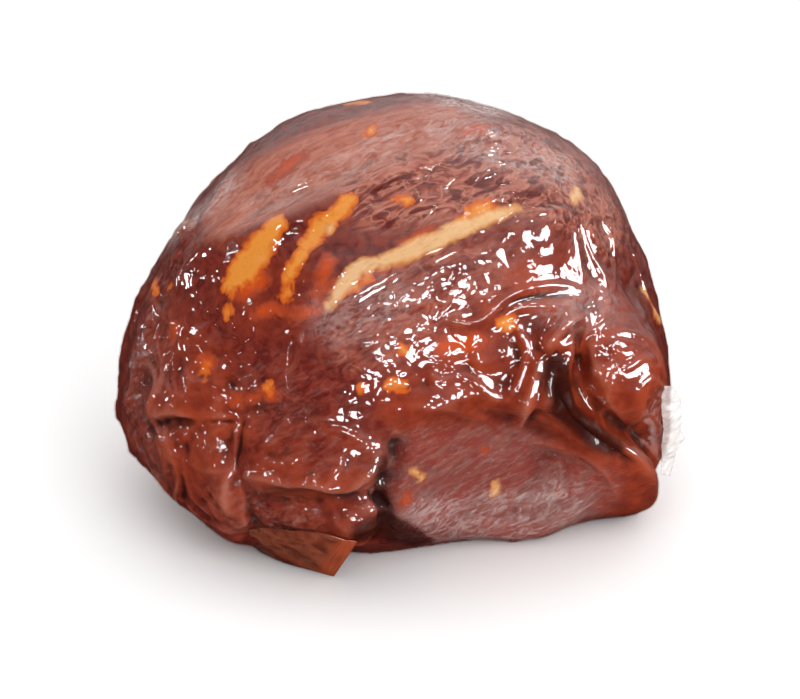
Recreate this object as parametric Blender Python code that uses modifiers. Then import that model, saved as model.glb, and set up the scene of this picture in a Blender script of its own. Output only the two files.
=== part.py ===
"""A boneless beef joint for pulled beef, drawn tight into a clear vacuum bag.

The joint and its bag are one closed solid: a domed lump with a flat base, muscle lobes, the
creases between them, the folds of the bag and the bag's two loose tails.
Metres, +Z up. The origin is on the surface it stands on, at the middle of its outline.
The front of the joint faces -Y and its right side +X.
"""
import math

import bpy
import numpy as np
from mathutils import Vector, noise

MM = 0.001

# Driving sizes of the joint.
HEIGHT = 0.125
WAIST = 0.036           # height of the widest level
UNDERCUT = 0.047        # how far below the waist the form would close, were it not cut flat
CROWN_LEAN = (0.008, 0.004)
CROWN_ROUNDNESS = 1.87  # exponents of the profile: 2 is an ellipse, more is squarer
FOOT_ROUNDNESS = 2.2
# How far the waist reaches from the axis, every 45 degrees from the right side (+X) round by the back.
REACH = (0.083, 0.071, 0.076, 0.081, 0.0865, 0.073, 0.059, 0.064)

# Lobes of muscle: azimuth and elevation in degrees, seen from the middle of the waist,
# then radius and height in millimetres. Azimuth -90 is the front and 0 the right side.
LOBES = {
    "right_knob": (-26, 15, 17, 11.0),
    "right_heel": (-15, -18, 17, 12.0),
    "right_slope": (-9, 30, 22, -5.5),
    "crown_right": (18, 54, 22, 2.5),
    "cut_foot": (-42, -24, 17, 6.0),
    "left_foot": (-134, -20, 17, 3.5),
    "crown_left": (158, 58, 26, 3.5),
    "left_side": (-174, -6, 20, 2.5),
    "front_left": (-114, 11, 24, 4.0),
    "front_low_knob": (-103, -9, 12, 8.0),
    "left_pad": (-146, -2, 22, 4.0),
    "shoulder": (-54, 42, 24, 3.0),
    "back_left": (128, 14, 28, 4.0),
    "back_right": (52, 14, 26, 4.0),
    "back_low": (92, -6, 26, 4.0),
}

# Folds and creases, each along a route of (azimuth, elevation) points. Across the route, going
# left, there is a crevice and then a lip beside it. In millimetres: width, rise of the lip,
# depth of the crevice, and how far the lip leans over the crevice.
FOLDS = {
    "muscle_band": (((-124, 35), (-92, 46), (-58, 52), (-24, 47)), 12, 5.0, 0, 0),
    "upper_edge": (((-168, 26), (-142, 50), (-108, 69), (-50, 76), (-16, 63)), 7, 2.6, 1.2, 0),
    "crown_trough": (((-168, 44), (-148, 62), (-105, 80), (-20, 80)), 14, 0, 4.0, 0),
    "fat_groove": (((-120, 41), (-88, 55), (-52, 61), (-20, 55)), 6, 0.8, 2.2, 0),
    "cut_rim": (((-94, 12), (-82, 19), (-62, 15), (-46, 8), (-32, -6), (-20, -18)), 6, 4.5, 1.0, 0),
    "tent_fold": (((-60, 10), (-52, 21), (-46, 32), (-37, 38)), 4, 5.5, 1.5, 1.0),
    "knob_crevice": (((-7, -22), (-21, -8), (-34, 2), (-43, 13), (-44, 25), (-37, 35)), 8, 3.5, 13.0, 5.0),
    "pleat_front": (((-24, 54), (-27, 42), (-31, 33)), 4, 1.4, 1.4, 0),
    "pleat_back": (((-12, 54), (-15, 42), (-18, 30)), 4, 0.8, 1.8, 0),
    "front_gap": (((-99, -26), (-95, -8), (-93, 6), (-96, 14)), 6, 1.5, 11.0, 1.5),
    "lobe_fold": (((-131, -4), (-112, -1), (-99, 2), (-94, 8)), 6, 3.0, 6.0, 2.0),
    "left_fold": (((-133, -26), (-129, -8), (-132, 4), (-135, 16)), 6, 2.5, 4.5, 1.0),
    "left_shelf": (((-158, 3), (-147, 8), (-134, 14)), 6, 2.5, 3.0, 0.5),
    "left_corner": (((-157, -14), (-160, 4), (-166, 22), (-172, 30)), 7, 2.0, 2.0, 0),
    "left_rear": (((172, -22), (178, 2), (168, 24), (148, 44)), 8, 2.0, 3.5, 0.5),
    "back_seam": (((160, 48), (128, 54), (92, 42), (60, 46), (34, 34)), 9, 2.5, 4.5, 1.0),
    "back_crease": (((104, -24), (96, -2), (104, 22), (90, 42)), 8, 3.0, 6.0, 2.0),
    "right_crease": (((10, -22), (16, -2), (12, 14), (20, 28)), 8, 2.0, 5.0, 1.5),
}

# The flat cut face at the front: its middle, which way it faces, and how far out it lies.
CUT_FACE = {"azimuth": -63, "elevation": -5, "faces": (-66, -7), "out": 0.0508, "spread": 34}
CUT_KEPT = 0.15         # share of the fullness that the cut leaves

# Uneven swells of the meat: size across and height, largest first.
SWELLS = ((0.040, 0.0016), (0.016, 0.0007), (0.008, 0.0003))

# Mesh sizes.
SPHERE_STEPS = 7        # times that the starting sphere is divided
SKIN_STEP = 0.0019      # the skin is remade in squares of this size, then thinned
SKIN_TRIANGLES = 10600
ROUTE_STEPS = 48        # points along a fold

# Tails of the empty bag: corners in millimetres, from the body outwards, then how thick and wavy.
TAILS = {
    "front_tail": {
        "corners": ((-40, -34, 17), (-9, -38, 13), (-19, -55.5, 1.6), (-45, -41, 1.6)),
        "thick": 2.0, "wave": 1.2, "waves": 2.5,
    },
    "right_tail": {
        "corners": ((70, -15, 4), (70, 0, 27), (90, -1, 25), (90, -13, 5)),
        "thick": 1.8, "wave": 1.6, "waves": 1.5,
    },
}
TAIL_STEPS = (14, 9)

MEAT_COLOUR = (0.21, 0.036, 0.018, 1.0)
MEAT_ROUGHNESS = 0.16


def reach(azimuth):
    """The waist's reach at an azimuth: a closed wave through the named reaches."""
    count = len(REACH)
    waves = np.fft.rfft(REACH) / count
    total = np.full_like(azimuth, waves[0].real)
    for turn in range(1, len(waves)):
        share = 1 if turn == count // 2 else 2
        total += share * (waves[turn] * np.exp(1j * turn * azimuth)).real
    return total


def plain_form(azimuth, elevation):
    """Points of the joint without folds, seen from the middle of the waist."""
    above = elevation > 0
    power = np.where(above, CROWN_ROUNDNESS, FOOT_ROUNDNESS)
    tall = np.where(above, HEIGHT - WAIST, UNDERCUT)
    across = (np.cos(elevation) / reach(azimuth)) ** power
    upright = (np.abs(np.sin(elevation)) / tall) ** power
    out = (across + upright) ** (-1 / power)
    x = out * np.cos(elevation) * np.cos(azimuth)
    y = out * np.cos(elevation) * np.sin(azimuth)
    z = out * np.sin(elevation) + WAIST
    lean = np.clip((z - WAIST) / (HEIGHT - WAIST), 0, 1)
    return np.stack([x + CROWN_LEAN[0] * lean, y + CROWN_LEAN[1] * lean, z], axis=-1)


def spot(azimuth, elevation):
    """One point of the plain form, from degrees."""
    return plain_form(np.radians([float(azimuth)]), np.radians([float(elevation)]))[0]


def route_points(route):
    """A smooth run of points on the plain form through a route's few corners."""
    corners = np.array([spot(*corner) for corner in route])
    ends = [2 * corners[0] - corners[1], *corners, 2 * corners[-1] - corners[-2]]
    places = np.linspace(0, len(route) - 1, ROUTE_STEPS)
    points = []
    for place in places:
        first = min(int(place), len(route) - 2)
        t = place - first
        a, b, c, d = ends[first:first + 4]
        points.append(0.5 * (2 * b + (c - a) * t + (2 * a - 5 * b + 4 * c - d) * t ** 2
                             + (3 * b - a - 3 * c + d) * t ** 3))
    return np.array(points)


def smooth_step(values):
    clipped = np.clip(values, 0, 1)
    return clipped * clipped * (3 - 2 * clipped)


def lobe_moves(plain, normals):
    """Moves that raise each lobe as a rounded bump."""
    moves = np.zeros_like(plain)
    for azimuth, elevation, radius, height in LOBES.values():
        away = np.linalg.norm(plain - spot(azimuth, elevation), axis=1)
        share = np.exp(-(away / (radius * MM)) ** 2)
        moves += normals * (share * height * MM)[:, None]
    return moves


def fold_moves(plain, normals, route, width, rise, sink, lean):
    """Moves that press one crevice in along its route and raise the lip beside it."""
    points = route_points(route)
    ways = np.gradient(points, axis=0)
    ways /= np.linalg.norm(ways, axis=1)[:, None]
    wide = width * MM
    gaps = plain[:, None, :] - points[None, :, :]
    away = np.linalg.norm(gaps, axis=2)
    nearest = away.argmin(axis=1)
    rows = np.arange(len(plain))
    left = np.cross(normals, ways[nearest])
    side = (gaps[rows, nearest] * left).sum(axis=1)
    past = np.abs((gaps[rows, nearest] * ways[nearest]).sum(axis=1))
    near_end = smooth_step(np.minimum(nearest, ROUTE_STEPS - 1 - nearest) / (0.18 * ROUTE_STEPS))
    strength = near_end * np.exp(-(past / wide) ** 2) * (away[rows, nearest] < 3 * wide)
    lip = np.exp(-((side - 0.6 * wide) / (0.9 * wide)) ** 2) * strength
    crevice = np.exp(-((side + 0.25 * wide) / (0.5 * wide)) ** 2) * strength
    moves = normals * (lip * rise * MM - crevice * sink * MM)[:, None]
    return moves - left * (lip * lean * MM)[:, None]


def cut_moves(points):
    """Moves that press the front down to the flat cut face."""
    faces_azimuth, faces_elevation = np.radians(CUT_FACE["faces"])
    facing = np.array([math.cos(faces_elevation) * math.cos(faces_azimuth),
                       math.cos(faces_elevation) * math.sin(faces_azimuth),
                       math.sin(faces_elevation)])
    middle = spot(CUT_FACE["azimuth"], CUT_FACE["elevation"])
    proud = (points - (0, 0, WAIST)) @ facing - CUT_FACE["out"]
    away = np.linalg.norm(points - middle, axis=1) / (CUT_FACE["spread"] * MM)
    share = (1 - smooth_step(2 * away - 1)) * (1 - CUT_KEPT)
    return -facing * (np.maximum(proud, 0) * share)[:, None]


def swell_heights(points):
    """Uneven height of the meat's surface at each point."""
    heights = np.zeros(len(points))
    for across, height in SWELLS:
        heights += [height * noise.noise(Vector(point) / across) for point in points]
    return heights


def mesh_normals(mesh):
    normals = np.empty(len(mesh.vertices) * 3, np.float32)
    mesh.vertex_normals.foreach_get("vector", normals)
    return normals.reshape(-1, 3).astype(float)


def set_points(mesh, points):
    mesh.vertices.foreach_set("co", points.astype(np.float32).ravel())
    mesh.update()


def make_collection(name):
    made = bpy.data.collections.new(name)
    bpy.context.scene.collection.children.link(made)
    return made


def move_to(collection, obj):
    for old in list(obj.users_collection):
        old.objects.unlink(obj)
    collection.objects.link(obj)


def make_material():
    """Clear film over dark glazed beef."""
    material = bpy.data.materials.new("filmed_beef")
    material.use_nodes = True
    shader = material.node_tree.nodes["Principled BSDF"]
    shader.inputs["Base Color"].default_value = MEAT_COLOUR
    shader.inputs["Roughness"].default_value = MEAT_ROUGHNESS
    shader.inputs["Metallic"].default_value = 0.0
    return material


def build_body(collection):
    """The lump: a sphere drawn out to the plain form, with its lobes, folds and cut face."""
    bpy.ops.mesh.primitive_ico_sphere_add(subdivisions=SPHERE_STEPS, radius=1.0)
    body = bpy.context.object
    body.name = "packed_beef_joint"
    mesh = body.data
    ways = np.array([vertex.co for vertex in mesh.vertices], float)
    azimuth = np.arctan2(ways[:, 1], ways[:, 0])
    elevation = np.arcsin(np.clip(ways[:, 2], -1, 1))
    plain = plain_form(azimuth, elevation)
    set_points(mesh, plain)
    normals = mesh_normals(mesh)
    moves = lobe_moves(plain, normals)
    set_points(mesh, plain + moves)
    normals = mesh_normals(mesh)
    for route, width, rise, sink, lean in FOLDS.values():
        moves += fold_moves(plain, normals, route, width, rise, sink, lean)
    moves += normals * swell_heights(plain)[:, None]
    points = plain + moves
    points += cut_moves(points)
    set_points(mesh, points)
    mesh.materials.append(make_material())
    mesh.shade_smooth()
    move_to(collection, body)
    return body


def build_tail(name, collection, corners, thick, wave, waves):
    """A flat tail of the bag: a grid between four corners, waved and given its thickness."""
    bpy.ops.mesh.primitive_grid_add(x_subdivisions=TAIL_STEPS[0], y_subdivisions=TAIL_STEPS[1], size=2)
    tail = bpy.context.object
    tail.name = name
    first, second, third, fourth = (Vector(corner) * MM for corner in corners)
    across = ((second - first) + (third - fourth)).normalized()
    outwards = ((fourth - first) + (third - second)).normalized()
    facing = across.cross(outwards)
    for vertex in tail.data.vertices:
        u, v = (vertex.co.x + 1) / 2, (vertex.co.y + 1) / 2
        place = first.lerp(second, u).lerp(fourth.lerp(third, u), v)
        lift = math.sin(waves * math.tau * u + 2.0 * v) * (1 - 0.6 * v)
        vertex.co = place + facing * (wave * MM * lift)
    solidify = tail.modifiers.new("thickness", "SOLIDIFY")
    solidify.thickness = thick * MM
    solidify.offset = 0
    move_to(collection, tail)
    tail.hide_render = True
    tail.display_type = "WIRE"
    return tail


def build_floor_cutter(collection):
    """A block whose top is the surface that the joint stands on."""
    bpy.ops.mesh.primitive_cube_add(size=1, location=(0, 0, -0.05))
    cutter = bpy.context.object
    cutter.name = "floor_cutter"
    cutter.scale = (0.4, 0.4, 0.1)
    bpy.ops.object.transform_apply(location=False, rotation=False, scale=True)
    move_to(collection, cutter)
    cutter.hide_render = True
    cutter.display_type = "WIRE"
    return cutter


def finish_body(body, tails, cutter):
    """Evens out the skin, thins it, joins the tails on and cuts the base flat."""
    remesh = body.modifiers.new("skin", "REMESH")
    remesh.mode = "VOXEL"
    remesh.voxel_size = SKIN_STEP
    bpy.context.view_layer.update()
    graph = bpy.context.evaluated_depsgraph_get()
    triangles = 2 * len(body.evaluated_get(graph).data.polygons)
    soften = body.modifiers.new("soften", "SMOOTH")
    soften.factor = 0.5
    soften.iterations = 3
    thin = body.modifiers.new("thin", "DECIMATE")
    thin.ratio = SKIN_TRIANGLES / triangles
    join = body.modifiers.new("tails", "BOOLEAN")
    join.operation = "UNION"
    join.operand_type = "COLLECTION"
    join.collection = tails
    flat = body.modifiers.new("base", "BOOLEAN")
    flat.operation = "DIFFERENCE"
    flat.object = cutter


def centre_outline(body, others):
    """Sets the origin at the middle of the outline, by moving the empty that holds it all."""
    stand = bpy.data.objects.new("stand", None)
    bpy.context.scene.collection.objects.link(stand)
    for obj in [body, *others]:
        obj.parent = stand
    bpy.context.view_layer.update()
    graph = bpy.context.evaluated_depsgraph_get()
    corners = np.array(body.evaluated_get(graph).bound_box)
    middle = (corners.min(axis=0) + corners.max(axis=0)) / 2
    stand.location = (-middle[0], -middle[1], 0)


def main():
    for obj in list(bpy.data.objects):
        bpy.data.objects.remove(obj)
    joint = make_collection("beef_joint")
    tails = make_collection("bag_tails")
    cutters = make_collection("cutters")
    body = build_body(joint)
    loose = [build_tail(name, tails, **sizes) for name, sizes in TAILS.items()]
    cutter = build_floor_cutter(cutters)
    finish_body(body, tails, cutter)
    centre_outline(body, [*loose, cutter])


main()
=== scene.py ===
"""A glazed beef joint for pulling, in a clear vacuum bag: the looks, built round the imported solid.

The beef and the clear film over it both follow the solid's skin, remade finer and worked over with
the folds, wrinkles, fat and glaze that show. Two loose tails finish the bag.
Metres, +Z up. A place in pixels is one in the photo's frame, looked up on the skin.
"""
import math
import random

import bpy
import numpy as np
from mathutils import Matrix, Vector, noise
from mathutils.bvhtree import BVHTree

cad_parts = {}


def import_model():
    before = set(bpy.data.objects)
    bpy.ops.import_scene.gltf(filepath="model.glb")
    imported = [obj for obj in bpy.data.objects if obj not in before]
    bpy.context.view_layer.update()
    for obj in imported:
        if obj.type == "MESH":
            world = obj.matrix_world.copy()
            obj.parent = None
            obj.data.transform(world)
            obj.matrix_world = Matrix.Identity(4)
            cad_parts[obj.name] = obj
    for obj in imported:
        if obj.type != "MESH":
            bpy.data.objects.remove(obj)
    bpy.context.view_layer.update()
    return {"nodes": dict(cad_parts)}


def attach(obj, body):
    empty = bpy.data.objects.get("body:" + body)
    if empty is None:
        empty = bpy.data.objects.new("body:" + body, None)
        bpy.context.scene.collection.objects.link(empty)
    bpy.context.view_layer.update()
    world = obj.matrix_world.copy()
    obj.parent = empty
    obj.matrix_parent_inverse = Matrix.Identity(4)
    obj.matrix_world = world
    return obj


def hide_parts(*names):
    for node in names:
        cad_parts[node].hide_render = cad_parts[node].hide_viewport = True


MM = 0.001
NODE = "packed_beef_joint"

# Camera: the photo's frame in pixels, and where the camera stands.
FRAME_WIDE, FRAME_HIGH = 800, 699
LENS, SENSOR = 85.0, 36.0
AIM = Vector((-0.0005, -0.0069, 0.0466))
DISTANCE = 0.585
LOOK_DOWN = math.radians(28)

# Skin: how finely it is remade, how far the solid's facets are smoothed away, and the film on it.
SKIN_STEP = 0.64 * MM
SKIN_SMOOTHING = 36
LAST_SMOOTHING = 2             # rounds over the finished heights, which take the steps off sharp wrinkles
MOST_TRIANGLES = 190000        # for each of the two skins
SAME_POINT = 0.01 * MM         # points of the solid that are closer than this are one
TAIL_THICKNESS = 2.6 * MM      # thinner than this, the solid is a loose tail of the bag
RAY_START = 0.05 * MM          # a ray that measures the thickness starts this far under the skin
FILM_GAP = 0.22 * MM
FILM_OVER_BEEF = 0.15 * MM     # what the film keeps off the beef besides
BASE_LEVEL = 0.35 * MM         # the skins lie flat on the floor below this height
BASE_GAPS = {"beef": 0.25 * MM, "bag_film": 0.02 * MM}

# Wrinkles of the film that stand up: width and height in mm, then their run in pixels.
CRESTS = {
    "left_taut_edge": (2.2, 1.6, ((160, 282), (184, 247), (202, 226), (218, 200), (238, 170), (268, 150))),
    "left_corner": (1.6, 3.0, ((182, 242), (190, 232), (200, 225))),
    "left_taut_inner": (1.5, 0.6, ((176, 282), (196, 256), (222, 228), (262, 203))),
    "valley_foot": (1.6, 1.1, ((204, 240), (229, 220), (261, 206), (297, 188), (334, 172), (370, 157),
                               (410, 143))),
    "valley_line_one": (0.9, 0.35, ((246, 208), (300, 180), (352, 158), (402, 138))),
    "valley_line_two": (0.9, 0.3, ((262, 193), (310, 171), (360, 150))),
    "valley_head": (1.5, 0.5, ((262, 160), (300, 140), (350, 125), (400, 118))),
    "groove_lip": (1.8, 0.8, ((300, 318), (345, 300), (390, 276), (430, 254), (470, 240), (515, 222))),
    "facet_head": (0.9, 1.8, ((504, 236), (514, 226), (528, 218), (554, 212), (573, 212))),
    "facet_right": (0.9, 1.6, ((571, 214), (573, 235), (577, 262), (581, 288))),
    "facet_foot": (1.3, 1.2, ((470, 322), (485, 312), (503, 297), (526, 288), (554, 285), (580, 289),
                              (604, 292))),
    "pleat_one": (0.8, 1.7, ((575, 211), (586, 249), (599, 272), (608, 292))),
    "pleat_two": (0.9, 2.0, ((586, 201), (596, 219), (609, 241), (611, 276), (614, 296))),
    "pleat_three": (0.8, 1.3, ((592, 203), (608, 221), (624, 239))),
    "right_edge": (1.2, 2.2, ((624, 240), (628, 252), (635, 272), (645, 301), (655, 318), (662, 334))),
    "peak_down": (0.9, 1.2, ((608, 294), (604, 308), (598, 322), (592, 336))),
    "tent_head": (1.4, 3.2, ((582, 311), (572, 320), (558, 336), (543, 353))),
    "tent_back": (1.2, 2.4, ((582, 311), (585, 326), (582, 340), (573, 354))),
    "tent_front": (1.6, 2.8, ((543, 351), (537, 376), (529, 402), (512, 436))),
    "web_head": (0.8, 0.9, ((556, 305), (575, 300), (596, 297), (608, 298))),
    "web_side": (0.8, 0.9, ((608, 298), (606, 310), (597, 326))),
    "ledge": (2.2, 2.2, ((440, 320), (470, 322), (500, 308), (530, 305), (552, 309), (567, 320))),
    "patch_right": (1.1, 2.2, ((514, 318), (518, 331), (527, 350), (524, 368), (515, 390), (502, 404))),
    "patch_swell": (3.6, 1.6, ((468, 360), (484, 358), (502, 355), (516, 352))),
    "patch_foot": (1.0, 0.7, ((440, 362), (466, 359), (500, 366))),
    "wavy": (1.2, 1.8, ((421, 383), (428, 375), (440, 382), (463, 377), (476, 385), (493, 397), (513, 400))),
    "low_line": (1.0, 1.3, ((400, 404), (419, 406), (447, 408), (472, 414), (491, 422), (512, 437))),
    "rim": (1.6, 2.2, ((512, 437), (553, 443), (581, 452), (602, 468), (614, 489), (618, 506))),
    "crevice_lip": (1.1, 1.2, ((547, 366), (550, 392), (560, 418), (575, 437), (600, 450), (618, 462))),
    "knob_lip": (1.2, 1.2, ((572, 360), (580, 385), (592, 412), (600, 430), (625, 447), (645, 465),
                            (658, 487))),
    "knob_one": (1.1, 2.0, ((590, 336), (593, 350), (598, 370), (608, 388))),
    "knob_two": (1.1, 1.8, ((606, 366), (612, 380), (608, 396), (621, 412), (628, 425))),
    "knob_three": (1.0, 1.6, ((616, 362), (625, 368), (640, 360), (655, 359))),
    "knob_four": (1.0, 1.6, ((632, 398), (640, 386), (650, 378), (662, 385))),
    "knob_five": (0.9, 1.4, ((628, 425), (640, 412), (645, 395), (654, 400))),
    "knob_six": (1.1, 1.6, ((600, 341), (618, 334), (640, 338), (655, 352), (662, 375), (664, 410))),
    "knob_seven": (0.9, 1.2, ((610, 402), (600, 412), (603, 428))),
    "knob_eight": (0.9, 1.3, ((590, 372), (603, 368), (616, 362))),
    "knob_nine": (0.9, 1.3, ((621, 412), (634, 408), (648, 414), (660, 432))),
    "knob_ten": (0.9, 1.2, ((608, 345), (618, 352), (628, 352), (634, 345))),
    "knob_eleven": (0.9, 1.3, ((640, 440), (650, 452), (662, 470))),
    "left_shelf": (1.2, 2.4, ((150, 413), (163, 412), (177, 410), (202, 417), (222, 416), (240, 415))),
    "left_shoulder": (1.3, 2.0, ((146, 340), (149, 360), (158, 382), (154, 412), (165, 438), (170, 464))),
    "left_panel_side": (1.0, 1.6, ((165, 416), (169, 436), (173, 450), (184, 457), (202, 468), (223, 471))),
    "left_panel_foot": (1.0, 1.8, ((171, 449), (180, 475), (177, 497), (184, 512), (196, 524))),
    "left_panel_low": (0.9, 1.6, ((184, 456), (190, 482), (195, 497), (208, 510), (216, 524))),
    "left_fold": (1.4, 3.0, ((240, 414), (240, 428), (233, 462), (226, 476), (225, 497), (230, 518))),
    "panel_one": (0.7, 0.9, ((178, 424), (184, 436), (194, 430), (204, 440))),
    "panel_two": (0.7, 0.9, ((190, 446), (202, 440), (214, 448), (224, 440))),
    "panel_three": (0.7, 0.8, ((206, 424), (210, 434), (222, 430), (230, 440))),
    "panel_four": (0.7, 0.8, ((196, 470), (204, 486), (214, 492), (220, 506))),
    "side_one": (0.8, 1.2, ((186, 334), (190, 348), (193, 362), (192, 376), (196, 390))),
    "side_two": (0.8, 1.0, ((172, 344), (176, 362), (174, 380), (180, 398))),
    "low_one": (0.8, 1.0, ((268, 500), (282, 506), (296, 502), (308, 510))),
    "low_two": (0.8, 1.0, ((300, 496), (312, 504), (318, 516), (330, 522))),
    "low_three": (0.8, 0.9, ((258, 518), (276, 516), (292, 522))),
    "lobe_lip": (1.4, 2.4, ((226, 471), (247, 475), (269, 479), (288, 486), (317, 486), (347, 488),
                            (369, 475), (378, 467))),
    "lobe_face": (1.0, 1.5, ((262, 452), (278, 438), (295, 427), (317, 419), (340, 420))),
    "lobe_face_two": (1.0, 1.4, ((290, 450), (317, 433), (339, 430), (369, 445))),
    "lobe_face_three": (0.9, 1.1, ((256, 462), (285, 464), (315, 458), (345, 462))),
    "scar_lip": (0.9, 1.3, ((232, 400), (250, 399), (276, 395), (296, 388))),
    "low_lip": (1.2, 2.4, ((236, 478), (241, 497), (241, 512), (246, 527))),
    "low_lip_inner": (1.0, 1.4, ((262, 486), (256, 500), (262, 516))),
    "low_edge": (1.2, 1.6, ((247, 527), (273, 529), (300, 531), (317, 532), (339, 538), (356, 543))),
    "front_knob_edge": (1.0, 1.2, ((330, 505), (338, 522), (352, 531), (370, 528), (384, 515))),
    "front_knob_face": (0.9, 1.0, ((345, 500), (352, 508), (362, 508), (372, 500))),
    "left_ripple_one": (0.9, 1.2, ((140, 300), (133, 330), (136, 360), (130, 392), (126, 420))),
    "left_ripple_two": (0.9, 1.3, ((155, 302), (148, 330), (146, 352), (140, 386), (140, 410))),
    "left_ripple_three": (0.9, 1.2, ((163, 318), (158, 342), (164, 366), (160, 392), (150, 412))),
    "left_ripple_four": (1.0, 1.4, ((178, 330), (183, 350), (188, 368), (190, 385), (187, 406))),
    "left_ripple_five": (0.9, 1.0, ((196, 340), (200, 358), (214, 372), (218, 392))),
    "low_left_one": (1.0, 1.8, ((133, 430), (147, 456), (162, 480), (178, 500))),
    "low_left_two": (0.9, 1.3, ((157, 430), (163, 456), (168, 482))),
    "low_left_three": (1.0, 1.6, ((184, 500), (206, 518), (235, 535))),
    "low_left_four": (0.9, 1.2, ((200, 486), (212, 505), (222, 522))),
}

# Creases pressed in: width and depth in mm, then their run in pixels.
CREASES = {
    "crevice_deep": (2.4, 3.0, ((556, 362), (560, 388), (568, 410), (580, 428), (600, 441), (622, 454),
                                (642, 474))),
    "crevice_head": (1.6, 1.6, ((552, 350), (562, 354), (572, 350))),
    "tent_hollow": (1.4, 1.6, ((577, 318), (569, 332), (563, 346))),
    "tent_side": (1.5, 1.2, ((549, 352), (543, 378), (536, 408), (522, 430))),
    "front_gap": (1.8, 2.2, ((384, 462), (380, 480), (372, 492), (384, 505), (392, 520))),
    "lobe_gap": (1.5, 2.0, ((262, 490), (300, 490), (345, 495), (372, 480))),
    "shelf_gap": (1.0, 0.7, ((165, 419), (195, 417), (222, 421), (240, 420))),
    "left_fold_gap": (1.0, 0.9, ((246, 416), (243, 435), (240, 450), (233, 470))),
    "facet_foot_gap": (1.2, 1.2, ((488, 318), (510, 304), (540, 296), (575, 297))),
    "left_low_gap": (1.2, 1.2, ((181, 468), (184, 490), (182, 500))),
    "scar": (1.2, 1.3, ((232, 405), (250, 398), (266, 396), (280, 392))),
}

# Patches on the beef, by what they are: each a run of (pixel, pixel, radius in mm).
PATCHES = {
    "fat": (
        ((277, 221, 3.4), (262, 246, 4.8), (243, 270, 5.4), (229, 285, 3.2)),
        ((349, 199, 2.6), (336, 214, 3.0), (316, 234, 3.8), (302, 254, 2.8), (290, 276, 2.5)),
        ((288, 293, 2.6),),
        ((228, 313, 1.9),),
        ((154, 281, 1.8), (156, 290, 1.4)),
        ((171, 287, 1.5),),
        ((326, 300, 1.2), (352, 289, 1.4), (370, 279, 1.2)),
        ((370, 132, 2.2),),
        ((352, 103, 2.4), (368, 102, 2.0)),
        ((398, 201, 2.0), (408, 200, 1.7)),
        ((464, 218, 1.8), (476, 210, 2.8), (488, 208, 2.4)),
        ((503, 324, 2.6),),
        ((500, 324, 2.0), (510, 322, 1.8)),
        ((206, 371, 2.4),),
        ((270, 386, 2.0),),
        ((360, 388, 1.1),),
        ((386, 385, 1.3), (396, 384, 1.6), (404, 386, 1.0)),
        ((406, 352, 2.2),),
    ),
    "cream": (
        ((330, 305, 1.4), (356, 270, 2.2), (372, 265, 1.8), (394, 258, 2.0), (426, 244, 2.6), (463, 228, 2.4),
         (492, 217, 1.8), (520, 209, 0.9)),
        ((329, 229, 1.5),),
        ((640, 290, 0.5), (648, 306, 0.8), (656, 322, 0.9)),
        ((578, 193, 2.2), (572, 199, 1.4)),
        ((414, 471, 1.1), (423, 477, 1.3)),
        ((495, 484, 1.2), (494, 493, 1.5)),
        ((186, 223, 1.4),),
    ),
    "ember": (
        ((247, 286, 4.2), (258, 280, 3.2)),
        ((327, 263, 2.8), (322, 282, 2.6)),
        ((312, 296, 1.6), (334, 286, 1.8), (358, 275, 1.6), (400, 262, 1.0)),
        ((255, 314, 1.6), (270, 310, 1.4), (292, 315, 1.6), (316, 309, 1.4), (343, 296, 1.2)),
        ((402, 252, 1.6), (415, 242, 2.2), (430, 231, 2.0)),
        ((174, 332, 2.6),),
        ((272, 179, 1.6), (288, 165, 2.0), (306, 155, 1.2)),
        ((466, 132, 1.8), (484, 130, 1.8)),
        ((440, 347, 2.4), (462, 345, 3.2), (480, 340, 2.0)),
        ((206, 366, 3.2),),
        ((236, 400, 1.4), (256, 397, 1.6), (276, 392, 1.4)),
        ((485, 449, 1.2),),
        ((559, 493, 1.0),),
        ((408, 498, 2.0),),
        ((646, 300, 2.0), (655, 318, 2.4)),
    ),
}

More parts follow.
